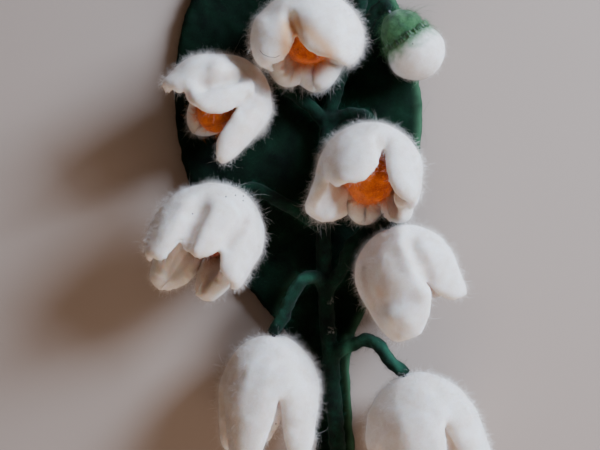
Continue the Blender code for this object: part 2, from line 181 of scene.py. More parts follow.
# A felt skin is: voxel, rounds of smoothing, how far it swells, height of its lumps and their size,
# and how much deeper its creases are pressed than the solid's.
SKINS = {
    "bell": (0.46, 5, 0.3, 0.2, 3.4, 1.5),
    "bud": (0.46, 6, 0.2, 0.14, 2.6, 0.0),
    "cap": (0.3, 6, 0.0, 0.22, 1.4, 0.0),
    "centre": (0.42, 3, 0.7, 0.4, 1.9, 0.0),
    "leaf": (0.6, 4, 0.0, 0.3, 2.6, 0.0),
    "stem": (0.4, 3, 0.15, 0.3, 1.6, 0.8),
}
# A crease is what lies under the skin as it is after so many rounds of smoothing. It is pressed in this
# far at most.
CREASE_ROUNDS = 36
CREASE_DEEPEST = 1.5
# The solid's facets are joined and rounded before its skin is made. A bell's skin is smoothed again
# once its folds are in.
WELD_DISTANCE = 0.01
ROUNDING_LEVELS = 2
SOFTENING = 0.5
SETTLE_ROUNDS = 4
# Smaller lumps lie on the lumps: their share of the height, and how many times finer they are.
LUMP_DETAIL = 0.4
LUMP_FINENESS = 2.7
# How far the lumps of one seed lie from those of the next, in lumps.
SEED_STRIDE = (7.3, 3.1, 5.7)

# Each kind of skin grows down and wisps. Each of these is: how many to a square millimetre, mean
# length, width, highest lift in degrees, how much it curls, and how many steps it is made of.
FIBRES = {
    "bell": ((14.0, 1.1, 0.03, 85, 0.9, 1), (2.8, 1.85, 0.022, 85, 1.6, 3)),
    "bud": ((14.0, 0.8, 0.03, 80, 0.9, 1), (1.5, 1.5, 0.022, 80, 1.6, 3)),
    "cap": ((16.0, 1.6, 0.034, 55, 0.6, 1), (2.5, 2.6, 0.028, 50, 1.0, 3)),
    "centre": ((9.0, 1.5, 0.045, 75, 1.2, 1), (2.0, 2.4, 0.035, 60, 2.0, 3)),
    "leaf": ((5.0, 1.1, 0.036, 60, 1.2, 1), (0.3, 2.6, 0.032, 45, 2.4, 4)),
    "stem": ((12.0, 1.0, 0.034, 80, 1.0, 1), (1.5, 2.0, 0.028, 60, 2.0, 3)),
}
# How much more the fibres lie along the way from crown to mouth than any other way.
COMBS = {"bell": 0.8, "bud": 0.6, "cap": 1.5}
# Fibres are longer in patches: the patches' size, the least share of the length, and what is added to
# it on average and at most. Each fibre has a length of its own besides, as a share of that.
FUZZ_PATCH = 2.6
FUZZ_LEAST = 0.45
FUZZ_ADDED = 0.55
FUZZ_MOST_ADDED = 1.4
FIBRE_LENGTHS = (0.45, 1.45)
# A fibre starts a little under the skin, tapers to this share of its width, and arches over. The lower
# FIBRE_LIFT_POWER is, the more of them stand up.
FIBRE_SINK = 0.12
FIBRE_TIP_WIDTH = 0.55
FIBRE_LIFT_POWER = 0.8
FIBRE_ARCH = 0.8
# Fibres on top lie flatter than those at the sides, which keeps the wool low over the solids. With
# TOP_FLATTENING at 0 they stand as high there as anywhere.
TOP_FLATTENING = 0.5
TOP_FACING = (0.3, 0.9)
# How much a fibre is shaded like the skin under it, which keeps the down soft.
FIBRE_OUTWARD_SHADING = 0.55
# The room left round each fibre in its cell of the texture map.
CELL_MARGIN = 0.2
# Where few fibres are seen, inside the bells and under the leaf, fewer grow. In a bell's mouth, as far
# as OPENING_REACH round the amber middle as it is seen, only OPENING_SHARE of those are left.
HIDDEN_SHARE = 0.3
OPENING_REACH = 3.2
OPENING_SHARE = 0.3

# Amber wool fades with the distance from the amber middle, and as the felt turns away from it.
AMBER_REACH = 1.8
AMBER_FACING = (-0.8, 0.1)
# How far the wool inside a bell fills it, in millimetres: more in the four that show it. It comes in
# as the skin turns to the bell's middle, and as it turns upwards.
INSIDE_FULLNESS = {1: 3.0, 2: 3.0, 3: 3.0, 4: 2.6}
LEAST_FULLNESS = 1.4
INSIDE_FACING = (0.1, 0.8)
INSIDE_UPWARD = (0.0, 0.6)

# The leaf's right rim is painted paler, as a painted highlight, as far in as the first distance, and fades
# out by the second. It is patchy: the patches' size, their mean and how much they vary. It comes in as the
# wool turns upwards.
LEAF_RIM = (0.6, 2.6)
RIM_PATCH = 2.4
RIM_MEAN = 0.75
RIM_VARIETY = 0.5
RIM_FACING = (-0.4, 0.3)

# A cap is pressed thinner from CAP_RIM_START of its reach down to its rim. Past the rim, green wool
# fades out over CAP_FADE, with a ragged edge of this size and depth.
CAP_RIM_START = 0.4
CAP_RIM_THINNING = 1.3
CAP_FADE = (-0.5, 3.4)
CAP_EDGE_PATCH = 1.2
CAP_EDGE_DEPTH = 1.4

# Each skin and its fibres are drawn from a seed of their own. A bell's is its number.
CENTRE_SEEDS = 20
BUD_SEEDS = {"bud_side": 31, "bud_tip": 32}
CAP_SEEDS = 5
LEAF_SEED = 41
STEM_SEED = 42
CAP_EDGE_SEED = 3
RIM_SEED = 9
TUFT_SEED = 7

# The faces of a speck, as the numbers of its six points.
OCTAHEDRON = ((0, 1, 2), (1, 3, 2), (3, 4, 2), (4, 0, 2), (1, 0, 5), (3, 1, 5), (4, 3, 5), (0, 4, 5))

# Colours are linear. Wool has one where it is lit and one for the shade in it, and a stain, painted shade
# or painted highlight just one.
WHITE = ((0.84, 0.81, 0.79), (0.70, 0.62, 0.55))
AMBER = ((0.95, 0.22, 0.004), (0.42, 0.05, 0.002))
AMBER_FIBRE = ((1.0, 0.32, 0.01), (0.60, 0.09, 0.004))
DEEP_AMBER = ((0.42, 0.07, 0.02), (0.16, 0.02, 0.008))
LEAF_GREEN = ((0.003, 0.018, 0.008), (0.001, 0.003, 0.002))
LEAF_FIBRE = ((0.010, 0.056, 0.028), (0.001, 0.004, 0.002))
STEM_GREEN = ((0.003, 0.026, 0.013), (0.001, 0.004, 0.003))
STEM_FIBRE = ((0.014, 0.090, 0.050), (0.001, 0.007, 0.005))
# A painted highlight, laid on the stalks where the light catches them.
STALK_PAINTED_HIGHLIGHT = (0.06, 0.26, 0.16)
CAP_GREEN = ((0.05, 0.15, 0.05), (0.012, 0.05, 0.018))
CAP_FIBRE = ((0.13, 0.28, 0.13), (0.02, 0.09, 0.03))
# Amber stain, also laid in the bells' creases and hollows as painted shade.
AMBER_STAIN_AND_PAINTED_SHADE = (0.62, 0.30, 0.09)
STAIN_GREEN = (0.10, 0.24, 0.10)
# A painted highlight, laid along the leaf's right rim.
RIM_PAINTED_HIGHLIGHT = (0.045, 0.11, 0.058)
LINT_BROWN = ((0.05, 0.035, 0.03), (0.02, 0.012, 0.01))
WIRE_GREY = ((0.10, 0.10, 0.10), (0.05, 0.05, 0.05))

# How much of a stain, painted shade or painted highlight shows where there is most of it.
MOST_AMBER_AND_PAINTED_SHADE = 0.8
MOST_GREEN = 0.9
MOST_RIM_HIGHLIGHT = 0.9
MOST_STALK_HIGHLIGHT_FELT = 0.5
MOST_STALK_HIGHLIGHT_FIBRE = 0.9

# All the wool is matt. Light goes GLOW_REACH into pale wool, red light furthest. Over MOTTLE_RANGE of
# the sum of its two noises, wool turns from its shade to its lit colour.
WOOL_ROUGHNESS = 0.95
WOOL_SPECULAR = 0.15
WOOL_SHEEN_ROUGHNESS = 0.6
GLOW_REACH = 1.6
GLOW_COLOUR = (1.0, 0.68, 0.45)
NAP_STRENGTH = 0.6
MOTTLE_RANGE = (0.75, 1.25)
WIRE_ROUGHNESS = 0.6


def unit(vectors):
    """Each row of an array, scaled to length one."""
    return vectors / np.maximum(np.linalg.norm(vectors, axis=-1, keepdims=True), TINY)


def mesh_of(name, points, corners):
    """A mesh of triangles from arrays of points and corner numbers."""
    mesh = bpy.data.meshes.new(name)
    mesh.vertices.add(len(points))
    mesh.vertices.foreach_set("co", np.asarray(points, np.float32).ravel())
    mesh.loops.add(corners.size)
    mesh.loops.foreach_set("vertex_index", np.asarray(corners, np.int32).ravel())
    mesh.polygons.add(len(corners))
    mesh.polygons.foreach_set("loop_start", np.arange(0, corners.size, 3, dtype=np.int32))
    mesh.update(calc_edges=True)
    mesh.shade_smooth()
    return mesh


def arrays_of(mesh):
    """The points, the outward normals and the triangles of a mesh, as arrays."""
    mesh.calc_loop_triangles()
    points = np.empty(len(mesh.vertices) * 3, np.float32)
    normals = np.empty(len(mesh.vertices) * 3, np.float32)
    corners = np.empty(len(mesh.loop_triangles) * 3, np.int32)
    mesh.vertices.foreach_get("co", points)
    mesh.vertices.foreach_get("normal", normals)
    mesh.loop_triangles.foreach_get("vertices", corners)
    return points.reshape(-1, 3), normals.reshape(-1, 3), corners.reshape(-1, 3)


def add_piece(name, mesh, material):
    """A new piece of the spray, with its one material, riding on the root body."""
    obj = bpy.data.objects.new(name, mesh)
    bpy.context.scene.collection.objects.link(obj)
    mesh.materials.clear()
    mesh.materials.append(material)
    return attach(obj, "root")


def lumps(points, size, seed):
    """The height of the wool's lumps at each point, from about -1 to 1."""
    offset = Vector([seed * stride for stride in SEED_STRIDE])
    scale = 1 / (size * MM)
    heights = np.empty(len(points), np.float32)
    for i, point in enumerate(points.tolist()):
        place = Vector(point) * scale + offset
        heights[i] = noise.noise(place) + LUMP_DETAIL * noise.noise(place * LUMP_FINENESS)
    return heights


def ease(values, low, high):
    """Eases from 0 to 1 as the values go from low to high."""
    share = np.clip((values - low) / (high - low), 0.0, 1.0)
    return share * share * (3 - 2 * share)


def in_photo(points):
    """Where the camera sees each point, in the photo's pixels."""
    nearer = (CAMERA_HEIGHT - PHOTO_PLANE) / (CAMERA_HEIGHT - points[:, 2] / MM) / PIXEL
    across = PHOTO_PIXELS[0] / 2 + (points[:, 0] / MM - PHOTO_MIDDLE[0]) * nearer
    down = PHOTO_PIXELS[1] / 2 - (points[:, 1] / MM - PHOTO_MIDDLE[1]) * nearer
    return np.stack([across, down], axis=1)


def near_line(points, line, width):
    """How near each point is seen to a line in the photo, from 0 far off to 1 on it."""
    seen = in_photo(points)
    away = np.full(len(points), np.inf)
    for start, end in zip(np.array(line[:-1], float), np.array(line[1:], float)):
        along = np.clip((seen - start) @ (end - start) / ((end - start) ** 2).sum(), 0.0, 1.0)
        nearest = start + along[:, None] * (end - start)
        away = np.minimum(away, np.linalg.norm(seen - nearest, axis=1))
    return np.exp(-((away * PIXEL / width) ** 2))


def fold_shares(number, middle, points):
    """For each fold of a bell: its depth, its amber stain and painted shade, and how much each point
    belongs to it.
    """
    top = ease((points[:, 2] - middle[2]) / MM, *FOLD_HEIGHT)
    return [
        (depth, amber, top * near_line(points, line, width))
        for line, width, depth, amber in FOLDS.get(number, ())
    ]


def painted_highlight_on_stalks(points, outward):
    """How far the loose wool of the stalks is painted paler, as a painted highlight."""
    amounts = [share * near_line(points, line, width) for line, width, share in PAINTED_STALK_HIGHLIGHTS]
    return np.max(amounts, axis=0) * ease(outward[:, 2], *PAINTED_STALK_HIGHLIGHT_FACING)


def amber_and_painted_shade(number, middle, radius):
    """How far amber wool has worked into a bell where it faces its amber middle, and the amber stain and
    painted shade laid along its folds.
    """
    def amount(points, outward):
        way = middle - points
        away = np.linalg.norm(way, axis=1)
        facing = (way * outward).sum(1) / np.maximum(away, TINY)
        near = np.exp(-np.maximum(away / MM - radius, 0.0) / AMBER_REACH)
        total = near * ease(facing, *AMBER_FACING)
        for _, amber, share in fold_shares(number, middle, points):
            total = np.maximum(total, amber * share)
        return total
    return amount


def green_near(crown, axis, reach):
    """How far green wool has been combed over a bud's white egg, from its cap down."""
    def amount(points, outward):
        below = (points - crown) @ axis / MM - reach
        ragged = lumps(points, CAP_EDGE_PATCH, CAP_EDGE_SEED) * CAP_EDGE_DEPTH
        return 1 - ease(below + ragged, *CAP_FADE)
    return amount


def painted_highlight_on_rim(points_of_leaf):
    """How far the leaf's wool is painted paler, as painted highlights: along its right rim, and where its
    stalk catches the light.
    """
    rows = np.round(points_of_leaf[:, 1] / MM).astype(int)
    ys = np.unique(rows)
    rims = np.array([points_of_leaf[rows == y, 0].max() for y in ys])

    def amount(points, outward):
        inward = (np.interp(points[:, 1] / MM, ys, rims) - points[:, 0]) / MM
        patchy = RIM_MEAN + RIM_VARIETY * lumps(points, RIM_PATCH, RIM_SEED)
        rim = (1 - ease(inward, *LEAF_RIM)) * patchy * ease(outward[:, 2], *RIM_FACING)
        return np.clip(np.maximum(rim, painted_highlight_on_stalks(points, outward)), 0.0, 1.0)
    return amount


def set_stain_and_painted_light(mesh, points, outward, stain_and_painted_light):
    """Stores how much of the colour of a stain, painted shade or painted highlight there is at each point.
    """
    if stain_and_painted_light is None:
        return
    layer = mesh.attributes.new("stain_and_painted_light", "FLOAT", "POINT")
    layer.data.foreach_set("value", stain_and_painted_light(points, outward).astype(np.float32))


def on_table(points):
    """The same points, with those below the table laid on it."""
    points[:, 2] = np.maximum(points[:, 2], 0.0)
    return points


def smoothed(mesh, points, rounds):
    """The points of a mesh, each drawn towards the middle of its neighbours."""
    edges = np.empty(len(mesh.edges) * 2, np.int32)
    mesh.edges.foreach_get("vertices", edges)
    here = np.concatenate([edges[0::2], edges[1::2]])
    there = np.concatenate([edges[1::2], edges[0::2]])
    count = np.maximum(np.bincount(here, minlength=len(points)), 1)
    smooth = points.astype(np.float64)
    for _ in range(rounds):
        sums = [np.bincount(here, smooth[there, i], len(points)) for i in range(3)]
        smooth = (smooth + np.stack(sums, axis=1) / count[:, None]) / 2
    return smooth


def creases(mesh, points, normals):
    """How far each point lies below a smoother skin, in millimetres: creases are negative, ridges 0."""
    depth = ((points - smoothed(mesh, points, CREASE_ROUNDS)) * normals).sum(1) / MM
    return np.minimum(depth, 0.0)


def soft_copy(node, voxel, rounds):
    """The mesh of a CAD node, with its facets rounded, evenly remeshed and softened."""
    rough = bpy.data.objects.new("rough", frame["nodes"][node].data.copy())
    bpy.context.scene.collection.objects.link(rough)
    weld = rough.modifiers.new("weld", "WELD")
    weld.merge_threshold = WELD_DISTANCE * MM
    rounding = rough.modifiers.new("rounding", "SUBSURF")
    rounding.levels = rounding.render_levels = ROUNDING_LEVELS
    remesh = rough.modifiers.new("remesh", "REMESH")
    remesh.mode = "VOXEL"
    remesh.voxel_size = voxel * MM
    soften = rough.modifiers.new("soften", "SMOOTH")
    soften.factor = SOFTENING
    soften.iterations = rounds
    bpy.context.view_layer.update()
    evaluated = rough.evaluated_get(bpy.context.evaluated_depsgraph_get())
    mesh = bpy.data.meshes.new_from_object(evaluated)
    bpy.data.objects.remove(rough)
    return mesh


def felt_skin(node, kind, material, seed, stain_and_painted_light=None, fullness=None):
    """A soft lumpy skin that stands for a CAD node, in places fuller or thinner than its kind."""
    voxel, rounds, swell, height, size, pressed = SKINS[kind]
    mesh = soft_copy(node, voxel, rounds)
    points, normals, _ = arrays_of(mesh)
    rise = swell + height * lumps(points, size, seed)
    if pressed:
        rise = rise + np.maximum(pressed * creases(mesh, points, normals), -CREASE_DEEPEST)
    if fullness is not None:
        rise = rise + fullness(points, normals)
    points = points + normals * (rise * MM)[:, None]
    if kind == "bell":
        points = smoothed(mesh, points, SETTLE_ROUNDS)
    points = on_table(points)
    mesh.vertices.foreach_set("co", points.astype(np.float32).ravel())
    mesh.update()
    mesh.shade_smooth()
    set_stain_and_painted_light(mesh, points, normals, stain_and_painted_light)
    piece = add_piece(node + "_felt", mesh, material)
    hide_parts(node)
    skins[node] = piece
    return piece


def roots_on(points, normals, corners, density, cover, rng):
    """Random places on a skin, fewer where the cover says so, and the skin's normal at each."""
    a, b, c = (points[corners[:, i]] for i in range(3))
    across = np.cross(b - a, c - a)
    areas = 0.5 * np.linalg.norm(across, axis=1) / MM**2
    if cover is not None:
        areas = areas * cover((a + b + c) / 3, unit(across))
    count = int(areas.sum() * density)
    pick = rng.choice(len(corners), count, p=areas / areas.sum())
    u, v = rng.random((2, count, 1))
    past = u + v > 1
    u = np.where(past, 1 - u, u)
    v = np.where(past, 1 - v, v)
    places = a[pick] + u * (b[pick] - a[pick]) + v * (c[pick] - a[pick])
    na, nb, nc = (normals[corners[pick, i]] for i in range(3))
    return places, unit(na + u * (nb - na) + v * (nc - na))


def strip(steps):
    """The triangles of a ribbon of so many steps, as the numbers of its points, which lie in pairs."""
    corners = []
    for a in range(0, 2 * steps, 2):
        corners += [(a, a + 1, a + 2), (a + 1, a + 3, a + 2)]
    return corners


def cell(steps):
    """Where the points of a ribbon that ends in a point lie in its cell of the texture map."""
    inner = 1 - 2 * CELL_MARGIN
    sheet = [
        (CELL_MARGIN + inner * side, CELL_MARGIN + inner * k / steps)
        for k in range(steps)
        for side in (0, 1)
    ]
    return sheet + [(0.5, 1 - CELL_MARGIN)]


def grow(roots, outward, spec, comb, rng):
    """Tapering ribbons from the roots, which arch over as they grow and end in a point.

    Gives their points and triangles, the skin's normal at each point, and one ribbon's cell.
    """
    _, length, width, lift, curl, steps = spec
    count = len(roots)
    along = rng.normal(size=(count, 3)) + (0.0 if comb is None else comb)
    along = unit(along - outward * (along * outward).sum(1, keepdims=True))
    across = np.cross(outward, along)
    lifts = np.radians(lift) * rng.random((count, 1)) ** FIBRE_LIFT_POWER
    lifts *= 1 - TOP_FLATTENING * ease(outward[:, 2:], *TOP_FACING)
    turns = rng.normal(size=(count, 1)) * curl
    arch = rng.random((count, 1)) * FIBRE_ARCH
    added = np.clip(FUZZ_ADDED + lumps(roots, FUZZ_PATCH, steps), 0.0, FUZZ_MOST_ADDED)
    step = length * MM * (FUZZ_LEAST + added)[:, None]
    step = step * rng.uniform(*FIBRE_LENGTHS, (count, 1)) / steps
    roll = rng.normal(size=(count, 3))
    place = roots - outward * (FIBRE_SINK * MM)
    rows = []
    for k in range(steps):
        turn = turns * k / steps
        rise = lifts * (1 - arch * k * 2 / steps)
        flat = along * np.cos(turn) + across * np.sin(turn)
        heading = flat * np.cos(rise) + outward * np.sin(rise)
        side = unit(np.cross(heading, roll))
        side *= np.sign((np.cross(side, heading) * outward).sum(1, keepdims=True))
        half = side * (0.5 * width * MM * (1 + (FIBRE_TIP_WIDTH - 1) * k / steps))
        rows += [place - half, place + half]
        place = place + heading * step
    rows.append(place)
    per = len(rows)
    pointed = np.array(strip(steps)[:-1])
    corners = (np.arange(count)[:, None, None] * per + pointed[None]).reshape(-1, 3)
    points = np.stack(rows, axis=1).reshape(-1, 3)
    return points, corners, np.repeat(outward, per, axis=0), cell(steps)


def lay_out(mesh, corners, sheets):
    """Gives the fibres a texture map, in which each lies in a square cell of its own."""
    side = math.ceil(math.sqrt(sum(count for count, _ in sheets)))
    flat = []
    first = 0
    for count, sheet in sheets:
        cells = np.arange(first, first + count)
        origins = np.stack([cells % side, cells // side], axis=1)
        flat.append((origins[:, None, :] + np.array(sheet)[None]).reshape(-1, 2) / side)
        first += count
    layer = mesh.uv_layers.new(name="OFBake")
    places = np.concatenate(flat)[corners.ravel()]
    layer.uv.foreach_set("vector", places.astype(np.float32).ravel())


def fibres(skin, kind, material, seed, comb=None, stain_and_painted_light=None, cover=None):
    """The loose fibres of a skin: short down all over it, and longer wisps."""
    rng = np.random.default_rng(seed)
    surface = arrays_of(skin.data)
    points, corners, outward, sheets = [], [], [], []
    total = 0
    for spec in FIBRES[kind]:
        roots, facing = roots_on(*surface, spec[0], cover, rng)
        grown = grow(roots, facing, spec, comb, rng)
        points.append(grown[0])
        corners.append(grown[1] + total)
        outward.append(grown[2])
        sheets.append((len(roots), grown[3]))
        total += len(grown[0])
    points, corners, outward = (np.concatenate(part) for part in (points, corners, outward))
    points = on_table(points)
    mesh = mesh_of(skin.name + "_fibres", points, corners)
    lay_out(mesh, corners, sheets)
    own = arrays_of(mesh)[1]
    mesh.normals_split_custom_set_from_vertices(unit(own + (outward - own) * FIBRE_OUTWARD_SHADING))
    set_stain_and_painted_light(mesh, points, outward, stain_and_painted_light)
    return add_piece(skin.name.replace("_felt", "_fibres"), mesh, material)


def new_group(name, inputs, outputs):
    """An empty shader node group with named inputs and outputs, and its two end nodes."""
    group = bpy.data.node_groups.new(name, "ShaderNodeTree")
    for label, kind, value in inputs:
        socket = group.interface.new_socket(label, in_out="INPUT", socket_type=kind)
        socket.default_value = value
    for label, kind in outputs:
        group.interface.new_socket(label, in_out="OUTPUT", socket_type=kind)
    return group, group.nodes.new("NodeGroupInput"), group.nodes.new("NodeGroupOutput")


def noise_node(group, coordinate, scale, detail, distortion):
    """A noise texture on the object's own coordinates. Its scale, per metre, comes from a socket."""
    texture = group.nodes.new("ShaderNodeTexNoise")
    texture.inputs["Detail"].default_value = detail
    texture.inputs["Distortion"].default_value = distortion
    group.links.new(coordinate, texture.inputs["Vector"])
    group.links.new(scale, texture.inputs["Scale"])
    return texture.outputs["Fac"]


def mottle_group():
    """Two colours of wool mixed in soft patches, with fine streaks over them."""
    group, start, end = new_group(
        "wool_mottle",
        [
            ("Lit colour", "NodeSocketColor", (1, 1, 1, 1)),
            ("Shade colour", "NodeSocketColor", (0, 0, 0, 1)),
            ("Patches per metre", "NodeSocketFloat", 300.0),
            ("Streaks per metre", "NodeSocketFloat", 2500.0),
        ],
        [("Colour", "NodeSocketColor")],
    )
    where = group.nodes.new("ShaderNodeTexCoord").outputs["Object"]
    patches = noise_node(group, where, start.outputs["Patches per metre"], detail=2.0, distortion=0.4)
    streaks = noise_node(group, where, start.outputs["Streaks per metre"], detail=3.0, distortion=2.5)
    total = group.nodes.new("ShaderNodeMath")
    total.operation = "ADD"
    group.links.new(patches, total.inputs[0])
    group.links.new(streaks, total.inputs[1])
    spread = group.nodes.new("ShaderNodeMapRange")
    spread.inputs["From Min"].default_value = MOTTLE_RANGE[0]
    spread.inputs["From Max"].default_value = MOTTLE_RANGE[1]
    group.links.new(total.outputs[0], spread.inputs["Value"])
    blend = group.nodes.new("ShaderNodeMix")
    blend.data_type = "RGBA"
    group.links.new(spread.outputs["Result"], blend.inputs["Factor"])
    group.links.new(start.outputs["Shade colour"], blend.inputs["A"])
    group.links.new(start.outputs["Lit colour"], blend.inputs["B"])
    group.links.new(blend.outputs["Result"], end.inputs["Colour"])
    return group


def nap_group():
    """The fine nap of felted wool, as a bumped normal."""
    group, start, end = new_group(
        "wool_nap",
        [
            ("Fibres per metre", "NodeSocketFloat", 3000.0),
            ("Depth", "NodeSocketFloat", 0.0001),
        ],
        [("Normal", "NodeSocketVector")],
    )
    where = group.nodes.new("ShaderNodeTexCoord").outputs["Object"]
    height = noise_node(group, where, start.outputs["Fibres per metre"], detail=4.0, distortion=3.0)
    bump = group.nodes.new("ShaderNodeBump")
    bump.inputs["Strength"].default_value = NAP_STRENGTH
    group.links.new(height, bump.inputs["Height"])
    group.links.new(start.outputs["Depth"], bump.inputs["Distance"])
    group.links.new(bump.outputs["Normal"], end.inputs["Normal"])
    return group


def stain_and_painted_light_group():
    """Lays a stain, painted shade or painted highlight over a colour where the mesh's layer says so."""
    group, start, end = new_group(
        "wool_stain_and_painted_light",
        [
            ("Colour", "NodeSocketColor", (1, 1, 1, 1)),
            ("Stain and painted light", "NodeSocketColor", (1, 1, 1, 1)),
            ("Most", "NodeSocketFloat", 1.0),
        ],
        [("Colour", "NodeSocketColor")],
    )
    layer = group.nodes.new("ShaderNodeAttribute")
    layer.attribute_name = "stain_and_painted_light"
    amount = group.nodes.new("ShaderNodeMath")
    amount.operation = "MULTIPLY"
    group.links.new(layer.outputs["Fac"], amount.inputs[0])
    group.links.new(start.outputs["Most"], amount.inputs[1])
    blend = group.nodes.new("ShaderNodeMix")
    blend.data_type = "RGBA"
    group.links.new(amount.outputs[0], blend.inputs["Factor"])
    group.links.new(start.outputs["Colour"], blend.inputs["A"])
    group.links.new(start.outputs["Stain and painted light"], blend.inputs["B"])
    group.links.new(blend.outputs["Result"], end.inputs["Colour"])
    return group


def use_group(tree, group, values, links=()):
    """A use of a node group in a material, with its numbers, colours and linked sockets."""
    user = tree.nodes.new("ShaderNodeGroup")
    user.node_tree = group
    for label, value in values.items():
        user.inputs[label].default_value = (*value, 1.0) if isinstance(value, tuple) else value
    for label, socket in links:
        tree.links.new(socket, user.inputs[label])
    return user


def wool(name, colours, patches=300.0, streaks=2500.0, depth=0.1, sheen=0.25, inner_light=0.0, stain_and_painted_light=None):
    """A matt felted wool: mottled colour, fine nap, sheen, and light that goes into pale wool.

    The nap's depth is in millimetres. The stain and painted light is the colour of a stain, painted shade
    or painted highlight laid over the wool, and how much of it shows at most.
    """
    material = bpy.data.materials.new(name)
    material.use_nodes = True
    tree = material.node_tree
    shader = tree.nodes["Principled BSDF"]
    shader.inputs["Roughness"].default_value = WOOL_ROUGHNESS
    shader.inputs["Specular IOR Level"].default_value = WOOL_SPECULAR
    shader.inputs["Sheen Weight"].default_value = sheen
    shader.inputs["Sheen Roughness"].default_value = WOOL_SHEEN_ROUGHNESS
    shader.inputs["Subsurface Weight"].default_value = inner_light
    shader.inputs["Subsurface Radius"].default_value = GLOW_COLOUR
    shader.inputs["Subsurface Scale"].default_value = GLOW_REACH * MM
    mottle = use_group(
        tree,
        groups["mottle"],
        {
            "Lit colour": colours[0],
            "Shade colour": colours[1],
            "Patches per metre": patches,
            "Streaks per metre": streaks,
        },
    )
    colour = mottle.outputs["Colour"]
    if stain_and_painted_light:
        values = {"Stain and painted light": stain_and_painted_light[0], "Most": stain_and_painted_light[1]}
        colour = use_group(tree, groups["stain_and_painted_light"], values, [("Colour", colour)]).outputs["Colour"]
    tree.links.new(colour, shader.inputs["Base Color"])
    if depth:
        nap = use_group(tree, groups["nap"], {"Depth": depth * MM})
        tree.links.new(nap.outputs["Normal"], shader.inputs["Normal"])
    return material


def wire_material():
    """Plain drawn steel wire, a little dull in patches."""
    material = bpy.data.materials.new("craft_wire")
    material.use_nodes = True
    tree = material.node_tree
    shader = tree.nodes["Principled BSDF"]
    shader.inputs["Metallic"].default_value = 1.0
    shader.inputs["Roughness"].default_value = WIRE_ROUGHNESS
    mottle = use_group(
        tree,
        groups["mottle"],
        {"Lit colour": WIRE_GREY[0], "Shade colour": WIRE_GREY[1]},
    )
    tree.links.new(mottle.outputs["Colour"], shader.inputs["Base Color"])
    return material


def direction(heading, rise):
    """The direction with this heading in the table's plane and this rise towards the viewer."""
    heading = math.radians(heading)
    rise = math.radians(rise)
    return np.array(
        [math.cos(rise) * math.cos(heading), math.cos(rise) * math.sin(heading), math.sin(rise)]
    )


def outwardness(places, facing, middle, axis):
    """How far the skin at each place faces away from the line through the middle along the axis."""
    way = places - middle
    return (unit(way - (way @ axis)[:, None] * axis) * facing).sum(1)


def bell_form(number, middle, axis):
    """How far a bell's wool stands fuller inside it, and is pressed in along its folds."""
    most = INSIDE_FULLNESS.get(number, LEAST_FULLNESS)

    def fullness(places, facing):
        inside = ease(-outwardness(places, facing, middle, axis), *INSIDE_FACING)
        rise = most * inside * ease(facing[:, 2], *INSIDE_UPWARD)
        for depth, _, share in fold_shares(number, middle, places):
            rise = rise - depth * share * ease(facing[:, 2], *FOLD_FACING)
        return rise
    return fullness


def bell_cover(middle, axis, radius):
    """The share of a bell's fibres that grow: fewer inside it, and fewer still in its mouth."""
    def share(places, facing):
        covered = np.where(outwardness(places, facing, middle, axis) < 0, HIDDEN_SHARE, 1.0)
        away = np.linalg.norm(in_photo(places) - in_photo(middle[None]), axis=1)
        in_mouth = (away < (radius + OPENING_REACH) / PIXEL) & ((places - middle) @ axis > 0)
        return np.where(in_mouth, OPENING_SHARE, 1.0) * covered
    return share


def dress_bell(number):
    """A bell and its amber middle: felt skins and fibres."""
    low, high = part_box(f"centre_{number}")
    middle = np.array((low + high) / 2)
    radius = 0.5 * min(high - low) / MM
    axis = direction(*BELL_LIES[number])
    # Amber wool by the middle, and painted shade along the folds.
    stain_and_painted_light = amber_and_painted_shade(number, middle, radius)
    form = bell_form(number, middle, axis)
    cover = bell_cover(middle, axis, radius)
    comb = COMBS["bell"] * axis
    bell = felt_skin(f"bell_{number}", "bell", looks["white"], number, stain_and_painted_light, form)
    fibres(bell, "bell", looks["white_fibre"], number, comb, stain_and_painted_light, cover)
    kind = "deep" if number in DEEP_CENTRES else "amber"
    seed = CENTRE_SEEDS + number
    centre = felt_skin(f"centre_{number}", "centre", looks[kind], seed)
    fibres(centre, "centre", looks[kind + "_fibre"], seed)


def cap_form(crown, axis, reach):
    """How far a cap is pressed thinner towards its rim, on its outer side."""
    def fullness(places, facing):
        way = places - crown
        depth = way @ axis
        outside = ((way - depth[:, None] * axis) * facing).sum(1) > 0
        return -CAP_RIM_THINNING * ease(depth / MM, CAP_RIM_START * reach, reach) * outside
    return fullness


def dress_bud(name):
    """A closed bud and its green cap, with green wool combed down over the white."""
    crown, heading, reach = BUD_LIES[name]
    crown = np.array(crown) * MM
    axis = direction(heading, 0)
    seed = BUD_SEEDS[name]
    stain_and_painted_light = green_near(crown, axis, reach)
    bud = felt_skin(name, "bud", looks["bud"], seed, stain_and_painted_light)
    fibres(bud, "bud", looks["bud_fibre"], seed, COMBS["bud"] * axis, stain_and_painted_light)
    seed += CAP_SEEDS
    form = cap_form(crown, axis, reach)
    cap = felt_skin(name + "_cap", "cap", looks["cap"], seed, fullness=form)
    fibres(cap, "cap", looks["cap_fibre"], seed, COMBS["cap"] * axis)


def leaf_cover(places, facing):
    """The share of the leaf's fibres that grow: fewer under it."""
    return np.where(facing[:, 2] < 0, HIDDEN_SHARE, 1.0)


def dress_leaf():
    """The leaf, with a painted highlight along its right rim."""
    # A painted highlight along the right rim.
    stain_and_painted_light = painted_highlight_on_rim(arrays_of(frame["nodes"]["leaf"].data)[0])
    leaf = felt_skin("leaf", "leaf", looks["leaf"], LEAF_SEED, stain_and_painted_light)
    look = looks["leaf_fibre"]
    fibres(leaf, "leaf", look, LEAF_SEED, None, stain_and_painted_light, leaf_cover)


